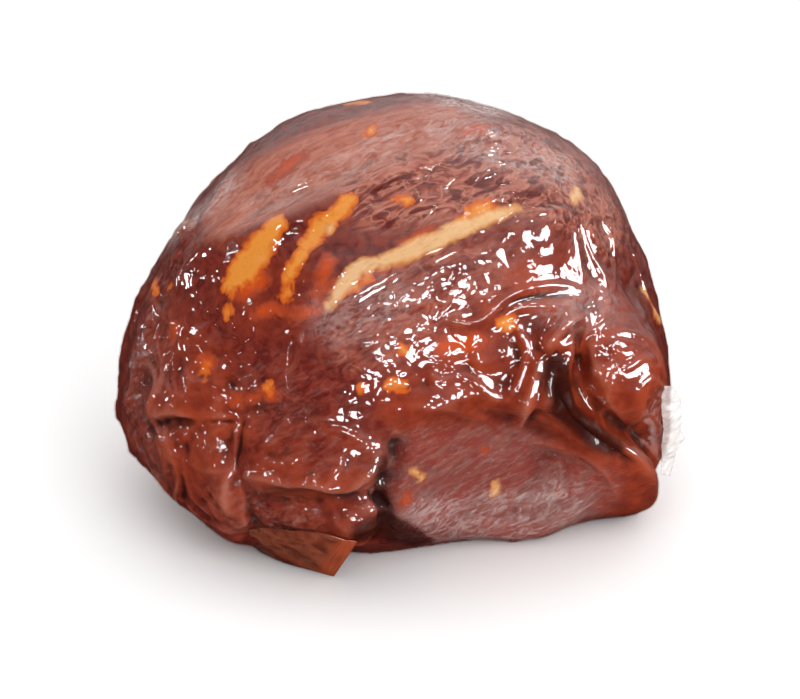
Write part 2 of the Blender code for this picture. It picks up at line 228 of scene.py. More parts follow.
# Soft washes over the beef, 0 to 1, by what they are: runs of (pixel, pixel, radius in mm), then
# their strength.
WASHES = {
    "glaze": (
        (((430, 350, 11), (500, 330, 12), (570, 300, 10)), 0.8),
        (((420, 410, 8), (480, 410, 9), (520, 420, 9)), 0.7),
        (((560, 380, 9), (590, 430, 8)), 0.9),
        (((620, 345, 13), (640, 400, 13), (655, 460, 10)), 1.0),
        (((540, 300, 9), (580, 320, 9)), 0.9),
        (((512, 437, 3), (553, 443, 4), (602, 468, 4), (616, 500, 4)), 1.0),
        (((170, 340, 8), (200, 390, 9)), 0.6),
        (((160, 413, 4), (240, 416, 4)), 0.7),
        (((180, 450, 6), (215, 490, 7)), 0.7),
        (((290, 470, 7), (350, 470, 8)), 0.6),
        (((335, 505, 8), (365, 512, 8)), 0.9),
        (((250, 190, 8), (330, 160, 9), (420, 138, 7)), 0.6),
        (((300, 300, 8), (240, 300, 6)), 0.4),
    ),
    "mauve": (
        (((400, 325, 7), (470, 270, 8), (520, 235, 5)), 0.6),
        (((165, 275, 4), (200, 228, 4), (232, 180, 4)), 0.9),
        (((420, 118, 11), (500, 128, 12), (570, 165, 11), (620, 215, 8)), 0.8),
        (((410, 470, 12), (500, 480, 15), (575, 500, 10)), 1.0),
        (((245, 500, 7), (285, 520, 8)), 0.8),
        (((150, 330, 7), (145, 400, 7), (150, 450, 7)), 0.8),
        (((280, 400, 9), (330, 440, 9)), 0.5),
    ),
    "taut": (
        (((235, 210, 7), (300, 170, 9), (380, 140, 8), (440, 120, 6)), 1.0),
    ),
    "cells": (
        (((380, 190, 8), (450, 180, 10), (540, 170, 14), (600, 220, 9)), 1.0),
        (((360, 340, 5), (420, 300, 8), (470, 270, 6)), 0.5),
    ),
    "crinkle": (
        (((150, 330, 9), (145, 420, 9)), 1.0),
        (((190, 440, 12), (230, 500, 12)), 1.0),
        (((200, 350, 8), (260, 430, 9)), 0.7),
        (((620, 350, 14), (640, 420, 14)), 0.25),
        (((520, 510, 10), (590, 505, 8)), 0.4),
        (((300, 510, 12), (350, 500, 10)), 0.9),
        (((600, 230, 6), (630, 290, 6)), 0.6),
    ),
    "milky": (
        (((360, 84, 3), (400, 80, 4), (440, 84, 3)), 0.9),
        (((385, 92, 4), (430, 92, 5), (480, 108, 4)), 1.0),
        (((440, 128, 2.5), (500, 150, 3), (560, 168, 3)), 0.6),
        (((176, 232, 2), (200, 214, 2), (226, 190, 2)), 0.7),
        (((262, 206, 1.5), (320, 178, 1.5), (392, 142, 1.5)), 0.5),
        (((420, 520, 5), (490, 520, 6), (560, 505, 4)), 0.5),
        (((560, 306, 2), (585, 304, 3), (600, 306, 3)), 0.5),
        (((335, 318, 4), (385, 300, 4)), 0.4),
    ),
    # Painted shade in the crevices and gaps: it darkens the beef there, and takes haze and gloss off the
    # film.
    "dark": (
        (((557, 368, 2.5), (563, 392, 3.5), (572, 415, 3.5), (590, 434, 2.5), (620, 450, 1.5)), 1.0),
        (((385, 466, 1.5), (378, 486, 1.5), (380, 500, 1.5)), 0.9),
        (((366, 534, 3), (385, 524, 3.5), (400, 534, 3.5), (420, 541, 2)), 0.95),
        (((270, 400, 1), (255, 404, 1)), 0.6),
        (((260, 492, 1), (310, 494, 1), (350, 494, 1)), 0.5),
    ),
    "cut": (
        (((420, 478, 13), (500, 485, 16), (570, 500, 11)), 1.0),
    ),
}
WASH_SOFTNESS = {"dark": 2.0}     # mm over which a wash fades
BROAD_SOFTNESS = 5.0

# Rounds of smoothing, and the height that counts as 1, for the fine and the wide relief.
RELIEF_STEPS = ((12, 0.35 * MM), (70, 1.0 * MM))

# A wrinkle's sharp ridge and wide skirt, as shares of its width, and the ridge's share of its height.
CREST_SHARPNESS = 0.75
CREST_SKIRT = 2.4
RIDGE_SHARE = 0.6
CREST_REACH, CREASE_REACH = 6, 4     # widths from its line at which a wrinkle and a crease stop
FADED_END = 0.16                     # share of its length over which a fold fades at each end

PATCH_REACH = 25 * MM                # how far from its line a patch is measured
FAR_OUTSIDE = 40.0                   # mm outside a patch, where none is near

# Points along a run on the skin: pixels or degrees between those looked up, the fewest of them
# from one corner to the next, the gap they are brought to, and the widest gap that is filled.
LOOKUP_STEP = 2.5
FEWEST_STEPS = 4
FINEST_GAP = 0.5 * MM
WIDEST_GAP = 12 * MM

# Fine relief as layers of noise, each by its height and its size in mm, its shift and its stretch.
EVEN = (1, 1, 1)
PEBBLES = ((0.30, 3.2, 0, EVEN), (0.16, 1.7, 7, EVEN))
FIBRES = ((0.35, 7, 3, (0.35, 1, 1.6)), (0.5, 14, 5, EVEN))
SWELLS = ((0.42, 7.5, 17, EVEN), (0.15, 3.0, 19, EVEN))

# Crumples of the film: the size and reach in mm of the noise that bends their ridges, with its
# shifts, then the fall from the ridges for each layer, its size in mm and its shift.
BEND_SIZE, BEND_REACH = 9, 2.5
BEND_SHIFTS = (23, 29, 31)
CRUMPLES = ((2.6, 10, 11), (1.1, 4.5, 13))
CRUMPLED, CRINKLED = 0.22, 0.8       # mm of them all over, and more where the film is crinkled

# What each surface takes of the layers, and what tight film and the flat cut face take from them.
BEEF_TAKES = {"folds": 0.85, "pebbles": 0.55, "fibres": 0.5}
FILM_TAKES = {"pebbles": 0.25, "fibres": 0.3, "swells": 0.9}
TIGHT_CALMS = {"taut": 0.85, "tight": 0.75, "loose": 0.3}
CUT_CALMS = {"swells": 0.3, "crumples": 0.7}

# The sides that don't show in the photo get wrinkles, creases, fat and washes like those that do:
# how many, and the ranges that they are drawn from. Sizes are in mm, fat's radius is a share of its
# size, places and reaches are in degrees round the joint, and a run's turn is in radians.
UNSEEN = {"seed": 47, "azimuths": (-24, 206), "heights": (-20, 62), "highest": 85, "turn": 0.7}
UNSEEN_CRESTS = {"count": 78, "width": (0.7, 1.9), "height": (0.4, 1.5), "steps": (3, 4, 5), "reach": (3, 8)}
UNSEEN_CREASES = {"count": 38, "width": (1.0, 1.8), "depth": (0.6, 1.6), "steps": 3, "reach": (5, 9)}
UNSEEN_FAT = {"count": 36, "sizes": (1.2, 1.6, 2.2, 3.0, 4.0), "steps": (2, 3, 4), "radius": (0.35, 1.1)}
UNSEEN_WASHES = {"count": 32, "steps": 2, "reach": 9, "radius": (5, 12), "strength": (0.4, 0.9)}
DOT_OF_FAT = 1.8                     # mm, up to which a piece of fat is a dot and not a run
LEAST_GIRTH = 0.35                   # share of the girth that a step round the joint is made for
WASHED = ("glaze", "mauve", "cells", "crinkle", "crinkle")
PATCHED = {"fat": 1.0, "cream": 0.5, "ember": 1.0}     # each with the share of its drawn size
SIDE_AIM, SIDE_DISTANCE = Vector((0, 0, 0.04)), 0.4

# How squarely skin faces the camera where those features begin, and where they are whole.
HIDDEN_FROM, HIDDEN_TO = 0.08, -0.08

# Loose tails of the bag, each as a run of pixels where it leaves the joint and one along its free
# edge, how far the first stands off the skin in mm, and its y where it misses the skin. An edge
# lies on the floor or so far behind the root. Then come the squares along and out, the thickness
# in mm, and the size, height and bow in mm of the crumples, which are sharp ridges or soft waves.
FRONT_TAIL = {
    "root": ((249, 530), (262, 527), (290, 530), (310, 531), (331, 535), (345, 540), (357, 541)),
    "edge": ((252, 545), (262, 553), (276, 560), (290, 564), (305, 568), (320, 572), (334, 576)),
    "off": 0.8,
    "depth": -0.080,
    "on_floor": True,
    "squares": (90, 50),
    "thick": 0.35,
    "crumple": (7, 0.8, 1.6),
    "sharp": False,
}
RIGHT_TAIL = {
    "root": ((664, 386), (661, 398), (661, 412), (663, 428), (661, 444), (661, 458), (660, 474)),
    "edge": ((672, 386), (680, 397), (682, 413), (680, 428), (684, 438), (676, 451), (669, 476)),
    "off": 0.4,
    "depth": -0.040,
    "on_floor": False,
    "behind": 5 * MM,
    "squares": (90, 60),
    "thick": 0.25,
    "crumple": (4, 1.4, 1.5),
    "sharp": True,
}
FLOOR_GAP = 0.9 * MM            # the tails stay this far over the floor


def camera_axes():
    """The camera's right, up and backward ways."""
    back = Vector((0, -math.cos(LOOK_DOWN), math.sin(LOOK_DOWN)))
    right = Vector((1, 0, 0))
    return right, back.cross(right), back


def add_camera():
    back = camera_axes()[2]
    camera = bpy.data.objects.new("camera", bpy.data.cameras.new("camera"))
    bpy.context.scene.collection.objects.link(camera)
    camera.data.lens = LENS
    camera.data.sensor_width = SENSOR
    camera.location = AIM + back * DISTANCE
    camera.rotation_mode = "QUATERNION"
    camera.rotation_quaternion = (-back).to_track_quat("-Z", "Y")
    bpy.context.scene.camera = camera


def photo_ray(place):
    """Start and way of the camera's line of sight through a pixel."""
    right, up, back = camera_axes()
    focal = LENS / SENSOR * FRAME_WIDE
    way = right * ((place[0] - FRAME_WIDE / 2) / focal) - up * ((place[1] - FRAME_HIGH / 2) / focal) - back
    return AIM + back * DISTANCE, way.normalized()


def way_out(azimuth, elevation):
    """The way out from the joint at an azimuth and an elevation in degrees."""
    azimuth, elevation = math.radians(azimuth), math.radians(elevation)
    level = math.cos(elevation)
    return Vector((level * math.cos(azimuth), level * math.sin(azimuth), math.sin(elevation)))


def side_ray(place):
    """Start and way of a line in from outside, at an azimuth and an elevation in degrees."""
    out = way_out(place[0], place[1])
    return SIDE_AIM + out * SIDE_DISTANCE, -out


def only_selected(obj):
    bpy.ops.object.select_all(action="DESELECT")
    obj.select_set(True)
    bpy.context.view_layer.objects.active = obj


def apply_modifier(obj, kind, **values):
    only_selected(obj)
    modifier = obj.modifiers.new(kind.lower(), kind)
    for key, value in values.items():
        setattr(modifier, key, value)
    bpy.ops.object.modifier_apply(modifier=modifier.name)


def mesh_points(mesh):
    points = np.empty(len(mesh.vertices) * 3, np.float32)
    mesh.vertices.foreach_get("co", points)
    return points.reshape(-1, 3).astype(float)


def mesh_normals(mesh):
    normals = np.empty(len(mesh.vertices) * 3, np.float32)
    mesh.vertex_normals.foreach_get("vector", normals)
    return normals.reshape(-1, 3).astype(float)


def set_points(mesh, points):
    mesh.vertices.foreach_set("co", points.astype(np.float32).ravel())
    mesh.update()


def skin_tree(mesh):
    return BVHTree.FromPolygons([v.co for v in mesh.vertices], [p.vertices[:] for p in mesh.polygons])


def trim_tails(obj):
    """Cuts the solid's loose tails off and closes the skin behind them."""
    mesh = obj.data
    tree = skin_tree(mesh)
    thin = np.zeros(len(mesh.vertices), bool)
    for index, vertex in enumerate(mesh.vertices):
        inward = -mesh.vertex_normals[index].vector
        far = tree.ray_cast(vertex.co + inward * RAY_START, inward, TAIL_THICKNESS)
        thin[index] = far[0] is not None
    only_selected(obj)
    bpy.ops.object.mode_set(mode="EDIT")
    bpy.ops.mesh.select_mode(type="VERT")
    bpy.ops.mesh.select_all(action="DESELECT")
    bpy.ops.object.mode_set(mode="OBJECT")
    mesh.vertices.foreach_set("select", thin)
    bpy.ops.object.mode_set(mode="EDIT")
    bpy.ops.mesh.delete(type="VERT")
    bpy.ops.mesh.select_all(action="SELECT")
    bpy.ops.mesh.fill_holes(sides=0)
    bpy.ops.object.mode_set(mode="OBJECT")


def make_skin(node):
    """The solid's skin without its tails, remade in small squares and smoothed."""
    obj = bpy.data.objects.new("beef", node.data.copy())
    bpy.context.scene.collection.objects.link(obj)
    obj.data.materials.clear()
    only_selected(obj)
    bpy.ops.object.mode_set(mode="EDIT")
    bpy.ops.mesh.select_all(action="SELECT")
    bpy.ops.mesh.remove_doubles(threshold=SAME_POINT)
    bpy.ops.object.mode_set(mode="OBJECT")
    trim_tails(obj)
    apply_modifier(obj, "REMESH", mode="VOXEL", voxel_size=SKIN_STEP)
    apply_modifier(obj, "SMOOTH", factor=0.5, iterations=SKIN_SMOOTHING)
    obj.data.shade_smooth()
    return obj


def filled_in(line, rest):
    """A line with more points put in where it has gaps, so that a fold along it is even."""
    if len(line) < 2:
        return line, rest
    gaps = np.linalg.norm(np.diff(line, axis=0), axis=1)
    extra = np.where(gaps < WIDEST_GAP, np.ceil(gaps / FINEST_GAP), 1).astype(int)
    steps = [first + np.arange(count) / count for first, count in enumerate(extra)]
    places = np.concatenate(steps + [[len(gaps)]])
    rows = np.arange(len(line))
    line = np.stack([np.interp(places, rows, line[:, axis]) for axis in range(3)], axis=1)
    if rest.ndim == 2 and rest.shape[1]:
        rest = np.stack([np.interp(places, rows, rest[:, 0])], axis=1)
    return line, rest


class Skin:
    """The smoothed skin's points, the ways out of them, and what is looked up on it."""

    def __init__(self, obj):
        mesh = obj.data
        self.points = mesh_points(mesh)
        self.normals = mesh_normals(mesh)
        self.tree = skin_tree(mesh)
        edges = np.empty(len(mesh.edges) * 2, np.int32)
        mesh.edges.foreach_get("vertices", edges)
        self.edges = edges.reshape(-1, 2)
        count = len(self.points)
        self.valence = np.bincount(self.edges.ravel(), minlength=count).astype(float)

    def smoothed(self, values, times):
        """Values on the points, each moved halfway to the mean of its neighbours, so many times."""
        first, second = self.edges.T
        count = len(values)
        for _ in range(times):
            total = np.bincount(first, values[second], count) + np.bincount(second, values[first], count)
            values = 0.5 * values + 0.5 * total / self.valence
        return values

    def relief(self, points):
        """How far each point stands over the mean of its near and of its wider surroundings."""
        reliefs = []
        smooth = points
        for times, unit in RELIEF_STEPS:
            smooth = np.stack([self.smoothed(smooth[:, axis], times) for axis in range(3)], axis=1)
            reliefs.append(((points - smooth) * self.normals).sum(axis=1) / unit)
        return reliefs

    def hidden(self):
        """1 where the skin faces away from the camera, 0 where it shows."""
        toward = np.array(AIM + camera_axes()[2] * DISTANCE) - self.points
        facing = (toward * self.normals).sum(axis=1) / np.linalg.norm(toward, axis=1)
        return np.clip((HIDDEN_FROM - facing) / (HIDDEN_FROM - HIDDEN_TO), 0, 1)

    def run(self, corners, ray):
        """Points on the skin along a smooth run through corners, with any radius that they carry."""
        corners = np.array(corners, float)
        if len(corners) == 1:
            hit = self.tree.ray_cast(*ray(corners[0]))[0]
            return (np.array([hit]), corners[:, 2:]) if hit else (np.empty((0, 3)), corners[:0, 2:])
        ends = np.vstack([2 * corners[0] - corners[1], corners, 2 * corners[-1] - corners[-2]])
        points, rest = [], []
        for first in range(len(corners) - 1):
            a, b, c, d = ends[first:first + 4]
            steps = max(FEWEST_STEPS, int(np.linalg.norm((c - b)[:2]) / LOOKUP_STEP))
            for step in range(steps + (first == len(corners) - 2)):
                t = step / steps
                place = 0.5 * (2 * b + (c - a) * t + (2 * a - 5 * b + 4 * c - d) * t ** 2
                               + (3 * b - a - 3 * c + d) * t ** 3)
                hit = self.tree.ray_cast(*ray(place))[0]
                if hit is not None:
                    points.append(hit)
                    rest.append(place[2:])
        return filled_in(np.array(points).reshape(-1, 3), np.array(rest))

    def near(self, line, within):
        """Which points lie near a line, how far off, nearest to which of the line's own points."""
        low, high = line.min(axis=0) - within, line.max(axis=0) + within
        rows = np.nonzero(((self.points > low) & (self.points < high)).all(axis=1))[0]
        spots = self.points[rows]
        squares = (spots ** 2).sum(axis=1)[:, None] + (line ** 2).sum(axis=1) - 2 * spots @ line.T
        nearest = squares.argmin(axis=1)
        away = np.sqrt(np.maximum(squares[np.arange(len(rows)), nearest], 0))
        kept = away < within
        return rows[kept], away[kept], nearest[kept]


def fade_ends(nearest, count):
    """1 along a line, falling to 0 at its ends."""
    share = np.minimum(nearest, count - 1 - nearest) / (FADED_END * count)
    return np.clip(share, 0, 1)


def add_crest(skin, heights, taut, width, height, corners, ray):
    """Raises a sharp wrinkle along a run, and marks the film drawn tight beside it."""
    line, _ = skin.run(corners, ray)
    if len(line) < 4:
        return
    rows, away, nearest = skin.near(line, CREST_REACH * width * MM)
    ridge = np.exp(-away / (CREST_SHARPNESS * width * MM))
    skirt = np.exp(-(away / (CREST_SKIRT * width * MM)) ** 2)
    ends = fade_ends(nearest, len(line))
    heights[rows] += height * MM * (RIDGE_SHARE * ridge + (1 - RIDGE_SHARE) * skirt) * ends
    taut[rows] = np.maximum(taut[rows], skirt * ends)


def add_crease(skin, heights, width, depth, corners, ray):
    """Presses a rounded crease in along a run."""
    line, _ = skin.run(corners, ray)
    if len(line) < 4:
        return
    rows, away, nearest = skin.near(line, CREASE_REACH * width * MM)
    profile = np.exp(-(away / (width * MM)) ** 2)
    heights[rows] -= depth * MM * profile * fade_ends(nearest, len(line))


def patch_distance(skin, runs, ray):
    """How far each point is outside a group of patches, in mm, and less than 0 inside them."""
    distance = np.full(len(skin.points), FAR_OUTSIDE)
    for corners in runs:
        line, radius = skin.run(corners, ray)
        if len(line) == 0:
            continue
        rows, away, nearest = skin.near(line, PATCH_REACH)
        distance[rows] = np.minimum(distance[rows], away / MM - radius[nearest, 0])
    return distance


def wash(skin, runs, ray, softness=BROAD_SOFTNESS):
    """A soft mask, 1 inside a group of runs and fading outside them."""
    clear = np.ones(len(skin.points))
    for corners, strength in runs:
        distance = patch_distance(skin, [corners], ray)
        clear *= 1 - strength * np.exp(-(np.maximum(distance, 0) / softness) ** 2)
    return 1 - clear


def noise_values(points, size, stretch=EVEN):
    """Smooth noise of about -1 to 1 on points, at a feature size in metres."""
    scaled = points / size * np.array(stretch)
    return np.array([noise.noise(point) for point in scaled.tolist()])


def layered(points, layers):
    """Layers of noise on points, added up, in mm."""
    return sum(height * noise_values(points + shift, size * MM, stretch)
               for height, size, shift, stretch in layers)


def crumples(points):
    """Sharp branching ridges, as in crumpled film: 1 on a ridge and lower away from it."""
    push = np.stack([noise_values(points + shift, BEND_SIZE * MM) for shift in BEND_SHIFTS], axis=1)
    bent = points + BEND_REACH * MM * push
    level = np.ones(len(points))
    for fall, size, shift in CRUMPLES:
        level -= fall * np.abs(noise_values(bent + shift, size * MM))
    return level


def wander(rng, steps, reach):
    """A run of azimuths and elevations that strays from a place on the sides that don't show."""
    place = [rng.uniform(*UNSEEN["azimuths"]), rng.uniform(*UNSEEN["heights"])]
    heading = rng.uniform(0, math.tau)
    corners = [tuple(place)]
    for _ in range(steps):
        heading += rng.uniform(-UNSEEN["turn"], UNSEEN["turn"])
        widen = 1 / max(LEAST_GIRTH, math.cos(math.radians(place[1])))
        place = [place[0] + reach * math.cos(heading) * widen, place[1] + reach * math.sin(heading)]
        corners.append((place[0], min(place[1], UNSEEN["highest"])))
    return corners


def unseen_crest(rng):
    width, height = rng.uniform(*UNSEEN_CRESTS["width"]), rng.uniform(*UNSEEN_CRESTS["height"])
    steps = rng.choice(UNSEEN_CRESTS["steps"])
    return width, height, wander(rng, steps, rng.uniform(*UNSEEN_CRESTS["reach"]))


def unseen_crease(rng):
    width, depth = rng.uniform(*UNSEEN_CREASES["width"]), rng.uniform(*UNSEEN_CREASES["depth"])
    return width, depth, wander(rng, UNSEEN_CREASES["steps"], rng.uniform(*UNSEEN_CREASES["reach"]))


def unseen_fat(rng):
    size = rng.choice(UNSEEN_FAT["sizes"])
    steps = rng.choice(UNSEEN_FAT["steps"]) if size > DOT_OF_FAT else 1
    return [(*place, size * rng.uniform(*UNSEEN_FAT["radius"])) for place in wander(rng, steps, 2 + size)]


def unseen_wash(rng):
    places = wander(rng, UNSEEN_WASHES["steps"], UNSEEN_WASHES["reach"])
    run = tuple((*place, rng.uniform(*UNSEEN_WASHES["radius"])) for place in places)
    return run, rng.uniform(*UNSEEN_WASHES["strength"])


def unseen_features():
    """Wrinkles, creases, fat and washes for the sides that don't show, from one seeded draw."""
    rng = random.Random(UNSEEN["seed"])
    kinds = ((unseen_crest, UNSEEN_CRESTS), (unseen_crease, UNSEEN_CREASES), (unseen_fat, UNSEEN_FAT),
             (unseen_wash, UNSEEN_WASHES))
    return [[draw(rng) for _ in range(kind["count"])] for draw, kind in kinds]


def fold_skin(skin, hidden, unseen_crests, unseen_creases):
    """Heights of the wrinkles and creases, and how tight the film is drawn in view and out of it."""
    folds, unseen_folds, tight, loose = np.zeros((4, len(skin.points)))
    for width, height, corners in CRESTS.values():
        add_crest(skin, folds, tight, width, height, corners, photo_ray)
    for width, depth, corners in CREASES.values():
        add_crease(skin, folds, width, depth, corners, photo_ray)
    for width, height, corners in unseen_crests:
        add_crest(skin, unseen_folds, loose, width, height, corners, side_ray)
    for width, depth, corners in unseen_creases:
        add_crease(skin, unseen_folds, width, depth, corners, side_ray)
    return folds + hidden * unseen_folds, tight, loose


def mask_skin(skin, hidden, fat, washes):
    """Washes from 0 to 1, and how far outside the patches of fat each point is, by their names."""
    masks = {name: wash(skin, runs, photo_ray, WASH_SOFTNESS.get(name, BROAD_SOFTNESS))
             for name, runs in WASHES.items()}
    for place, name in enumerate(WASHED):
        runs = washes[place::len(WASHED)]
        masks[name] = np.maximum(masks[name], hidden * wash(skin, runs, side_ray))
    for name, runs in PATCHES.items():
        masks[name] = patch_distance(skin, runs, photo_ray)
    for place, (name, share) in enumerate(PATCHED.items()):
        runs = [[(azimuth, height, share * radius) for azimuth, height, radius in run]
                for run in fat[place::len(PATCHED)]]
        outside = patch_distance(skin, runs, side_ray) + FAR_OUTSIDE * (1 - hidden)
        masks[name] = np.minimum(masks[name], outside)
    return masks


def work_skin(skin):
    """Heights of beef and film over the smoothed skin, and the masks that colour them."""
    crests, creases, fat, washes = unseen_features()
    hidden = skin.hidden()
    folds, tight, loose = fold_skin(skin, hidden, crests, creases)
    masks = mask_skin(skin, hidden, fat, washes)
    masks["tight"] = tight

    calm = 1.0
    for name, drawn in (("taut", masks["taut"]), ("tight", tight), ("loose", loose)):
        calm = calm * (1 - TIGHT_CALMS[name] * drawn)
    pebbles, fibres, swells = (layered(skin.points, layers) for layers in (PEBBLES, FIBRES, SWELLS))
    beef = BEEF_TAKES["pebbles"] * pebbles + BEEF_TAKES["fibres"] * fibres
    swelling = FILM_TAKES["swells"] - CUT_CALMS["swells"] * masks["cut"]
    film = FILM_TAKES["pebbles"] * pebbles + FILM_TAKES["fibres"] * fibres + swelling * swells
    crumpled = (CRUMPLED + CRINKLED * masks["crinkle"]) * (1 - CUT_CALMS["crumples"] * masks["cut"])
    folds += crumpled * crumples(skin.points) * MM * calm
    beef_heights = BEEF_TAKES["folds"] * folds + beef * MM * calm
    film_heights = np.maximum(folds + film * MM * calm, beef_heights + FILM_OVER_BEEF) + FILM_GAP
    return skin.smoothed(beef_heights, LAST_SMOOTHING), skin.smoothed(film_heights, LAST_SMOOTHING), masks


def settle(points, gap):
    """Points no lower than a gap over the floor, and flat where they lie on it."""
    points = points.copy()
    points[:, 2] = np.where(points[:, 2] < BASE_LEVEL + gap, gap, points[:, 2])
    return points


def add_attributes(mesh, masks):
    for name, values in masks.items():
        attribute = mesh.attributes.new(name, "FLOAT", "POINT")
        attribute.data.foreach_set("value", values.astype(np.float32))


class Paint:
    """A material's node graph, built a node at a time."""

    def __init__(self, name):
        self.material = bpy.data.materials.new(name)
        self.material.use_nodes = True
        self.tree = self.material.node_tree
        self.tree.nodes.clear()
        self.output = self.tree.nodes.new("ShaderNodeOutputMaterial")
        self.place = self.node("ShaderNodeTexCoord").outputs["Object"]

    def node(self, kind, inputs=None, **values):
        made = self.tree.nodes.new(kind)
        for key, value in values.items():
            setattr(made, key, value)
        for key, value in (inputs or {}).items():
            self.feed(made.inputs[key], value)
        return made

    def feed(self, socket, value):
        """A socket takes a link from another node, or a value of its own."""
        if isinstance(value, bpy.types.NodeSocket):
            self.tree.links.new(value, socket)
        else:
            socket.default_value = value

    def mask(self, name):
        return self.node("ShaderNodeAttribute", attribute_name=name).outputs["Fac"]

    def sums(self, operation, first, second=0.0, third=0.0, clamp=False):
        inputs = {0: first, 1: second, 2: third}
        return self.node("ShaderNodeMath", inputs, operation=operation, use_clamp=clamp).outputs[0]

    def plus(self, first, second):
        return self.sums("ADD", first, second)

    def times(self, first, second):
        return self.sums("MULTIPLY", first, second)

    def vectors(self, operation, first, second):
        return self.node("ShaderNodeVectorMath", {0: first, 1: second}, operation=operation).outputs[0]

    def noise(self, size, detail=3.0, roughness=0.55, distortion=0.0, stretch=None):
        """Noise in the piece's own coordinates, drawn out along the grain where it has a stretch."""
        vector = self.place
        if stretch is not None:
            turned = {"Vector": self.place, "Rotation": GRAIN_TURN, "Scale": (stretch, 1, 1)}
            vector = self.node("ShaderNodeMapping", turned, vector_type="TEXTURE").outputs[0]
        inputs = {"Vector": vector, "Scale": 1 / size, "Detail": detail, "Roughness": roughness,
                  "Distortion": distortion}
        return self.node("ShaderNodeTexNoise", inputs).outputs["Fac"]

    def ridges(self, size):
        """Sharp branching ridges, as in crumpled film."""
        inputs = {"Vector": self.bent_place(2 * size, 1.2 * size), "Scale": 1 / size, "Detail": 1.5,
                  "Roughness": 0.5}
        return self.node("ShaderNodeTexNoise", inputs, noise_type="RIDGED_MULTIFRACTAL").outputs["Fac"]

    def cells(self, size, vector=None):
        """How far each place is from the middle of its cell."""
        inputs = {"Vector": vector or self.place, "Scale": 1 / size}
        return self.node("ShaderNodeTexVoronoi", inputs, feature="F1").outputs["Distance"]

    def bent_place(self, size, reach):
        """Object coordinates pushed about by noise."""
        push = self.node("ShaderNodeTexNoise", {"Vector": self.place, "Scale": 1 / size, "Detail": 2.0})
        centred = self.vectors("SUBTRACT", push.outputs["Color"], (0.5, 0.5, 0.5))
        return self.vectors("ADD", self.place, self.vectors("MULTIPLY", centred, (reach, reach, reach)))

    def step(self, value, low, high, start=0.0, end=1.0):
        """The value remade so that low gives start and high gives end, eased between."""
        inputs = {"Value": value, "From Min": low, "From Max": high, "To Min": start, "To Max": end}
        return self.node("ShaderNodeMapRange", inputs, interpolation_type="SMOOTHSTEP").outputs["Result"]

    def mix(self, share, first, second, blend="MIX"):
        """Colours mixed; the sockets are the colour ones of the Mix node."""
        made = self.tree.nodes.new("ShaderNodeMix")
        made.data_type = "RGBA"
        made.blend_type = blend
        for socket, value in ((0, share), (6, first), (7, second)):
            self.feed(made.inputs[socket], value)
        return made.outputs[2]

    def bump(self, height, distance):
        inputs = {"Height": height, "Distance": distance, "Strength": BUMP_STRENGTH}
        return self.node("ShaderNodeBump", inputs).outputs["Normal"]

    def blend(self, share, first, second):
        """A share, from 0 to 1, of the second shader's node over the first."""
        return self.node("ShaderNodeMixShader", {0: share, 1: first.outputs[0], 2: second.outputs[0]})

    def finish(self, shader):
        self.tree.links.new(shader.outputs[0], self.output.inputs["Surface"])
        return self.material


def colour(red, green, blue):
    """A linear colour from the sRGB bytes that it shows as."""
    def linear(value):
        value /= 255
        return value / 12.92 if value <= 0.04045 else ((value + 0.055) / 1.055) ** 2.4
    return (linear(red), linear(green), linear(blue), 1.0)


# Light of the room, brightest from above and behind: how far round the dark and the bright ends
# are, and how bright they are, as it falls on things and as it gleams in the film.
ROOM_BRIGHT_WAY = (0.12, 0.55, 0.82)
ROOM_LIGHT = (-0.7, 0.7, 0.35, 1.25)
ROOM_GLEAM = (0.25, 0.97, 0.02, 1.1)

# Lights whose gleams show in the film: the azimuth and elevation in degrees that each is seen at
# from the joint, its distance, its radiance, and its width and height.
GLEAMS = {
    "key_gleam": (-30, 20, 0.8, 34.0, (0.50, 0.36)),
    "patch_gleam": (-80, 17, 0.8, 34.0, (0.20, 0.11)),
    "ridge_gleam": (-64, 4, 0.8, 60.0, (0.16, 0.08)),
    "face_gleam": (-66, 36, 0.8, 50.0, (0.11, 0.09)),
    "left_gleam": (172, 7, 0.7, 40.0, (0.05, 0.07)),
    "panel_gleam": (-158, 13, 0.7, 70.0, (0.035, 0.035)),
    "small_gleam": (-126, 24, 0.7, 70.0, (0.035, 0.035)),
    "high_gleam": (-140, 42, 0.7, 60.0, (0.06, 0.06)),
    "top_gleam": (-27, 67, 0.7, 60.0, (0.07, 0.07)),
}
FRONT_FILL = (-58, 30, 0.8, 3.3, (0.5, 0.5))     # a light with no gleam, for the front
LIGHTS_AIM = Vector((0, 0, 0.05))
FLOOR_SIZE = 6.0

# Turn of the muscle's grain, which runs up to the right across the front.
GRAIN_TURN = (0.0, math.radians(-24), math.radians(16))
BUMP_STRENGTH = 0.8
MOST_SHINE = 0.17              # the film's edges reflect no more than this, so that they don't go grey

MAROON = colour(96, 24, 18)
BROWN_RED = colour(134, 48, 30)
GLAZE_RED = colour(168, 68, 36)
GLAZE_DEEP = colour(130, 42, 22)
MAUVE = colour(158, 98, 84)
SALMON = colour(196, 122, 102)
WEB_PALE = colour(206, 150, 130)
KNOT_RED = colour(92, 20, 16)
KNOTS = (4.5 * MM, 2.0, 0.5, 0.8, 1.9)      # dark knots of meat in the upper part, also felt in the film
CUT_PINK = colour(148, 62, 52)
CUT_GREY = colour(132, 80, 76)
TAUT_BROWN = colour(164, 82, 60)
TAUT_PALE = colour(198, 124, 100)
FAT_YELLOW = colour(240, 158, 62)
FAT_ORANGE = colour(214, 98, 24)
CREAM = colour(236, 196, 142)
CREAM_EDGE = colour(222, 158, 92)
EMBER = colour(206, 78, 20)
# Painted shade for hollows and crevices, and below it a painted highlight for crests and swells.
HOLLOW_SHADE = colour(44, 8, 4)
CREST_HIGHLIGHT = colour(182, 98, 70)
FILM_HAZE = colour(206, 186, 182)
FILM_TINT = (1.0, 0.985, 0.97, 1.0)
BODY_SHADE = colour(236, 228, 226)          # what the glaze over all of the beef takes from its colours
